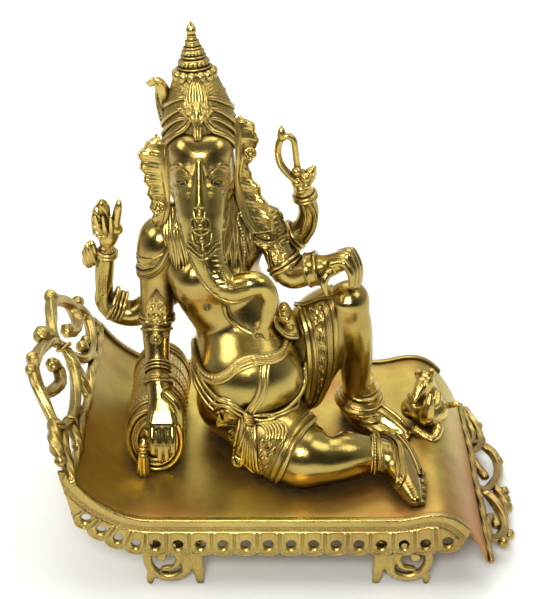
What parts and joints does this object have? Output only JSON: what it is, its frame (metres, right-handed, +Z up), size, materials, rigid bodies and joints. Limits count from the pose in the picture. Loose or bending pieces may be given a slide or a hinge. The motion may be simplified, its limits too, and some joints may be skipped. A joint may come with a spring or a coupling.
{
  "type": "reclining ganesha idol",
  "caption": "Cast brass idol of Ganesha leaning on a bolster on a low couch with pierced aprons, openwork ends and scroll legs.",
  "frame": {"origin": "on the floor under the middle of the couch, between the four legs", "axes": "+Z up through the crown, -Y towards the viewer whom the figure faces, -X towards the couch's raised head end"},
  "size_m": [0.3205, 0.1878, 0.3467],
  "materials": {
    "polished": "polished brass with dark patina left in the recesses",
    "cast": "satin cast brass, darker in the piercings",
    "seat": "satin brass sheet with mottled brown patina",
    "steel": "plain steel screws under the seat"
  },
  "bodies": {
    "root": {"axe": "polished", "back_apron": "cast", "back_left_leg": "cast", "back_left_pin": "cast", "back_right_leg": "cast", "back_right_pin": "cast", "bolster": "polished", "bolster_screw": "steel", "bolster_tassel": "polished", "crown_dome": "polished", "crown_plaque": "polished", "crown_spire": "polished", "figure_screw_1": "steel", "figure_screw_2": "steel", "foot_crest": "cast", "front_apron": "cast", "front_left_arm": "polished", "front_left_armlet": "polished", "front_left_bangle": "polished", "front_left_hand": "polished", "front_left_leg": "cast", "front_left_pin": "cast", "front_right_arm": "polished", "front_right_armlet": "polished", "front_right_bangles": "polished", "front_right_hand": "polished", "front_right_leg": "cast", "front_right_pin": "cast", "head": "polished", "head_crest": "cast", "left_anklet": "polished", "left_ear": "polished", "left_foot": "polished", "left_hair": "polished", "left_leg": "polished", "left_thigh_cloth": "polished", "mouse": "polished", "mouse_screw": "steel", "noose": "polished", "rear_left_arm": "polished", "rear_left_armlet": "polished", "rear_left_bangle": "polished", "rear_left_hand": "polished", "rear_right_arm": "polished", "rear_right_armlet": "polished", "rear_right_bangle": "polished", "rear_right_hand": "polished", "right_anklet": "polished", "right_ear": "polished", "right_foot": "polished", "right_hair": "polished", "right_leg": "polished", "right_plume": "polished", "right_thigh_cloth": "polished", "seat_sheet": "seat", "snake_belt": "polished", "torso": "polished", "trunk": "polished", "waist_sash": "polished"}
  },
  "joints": []
}
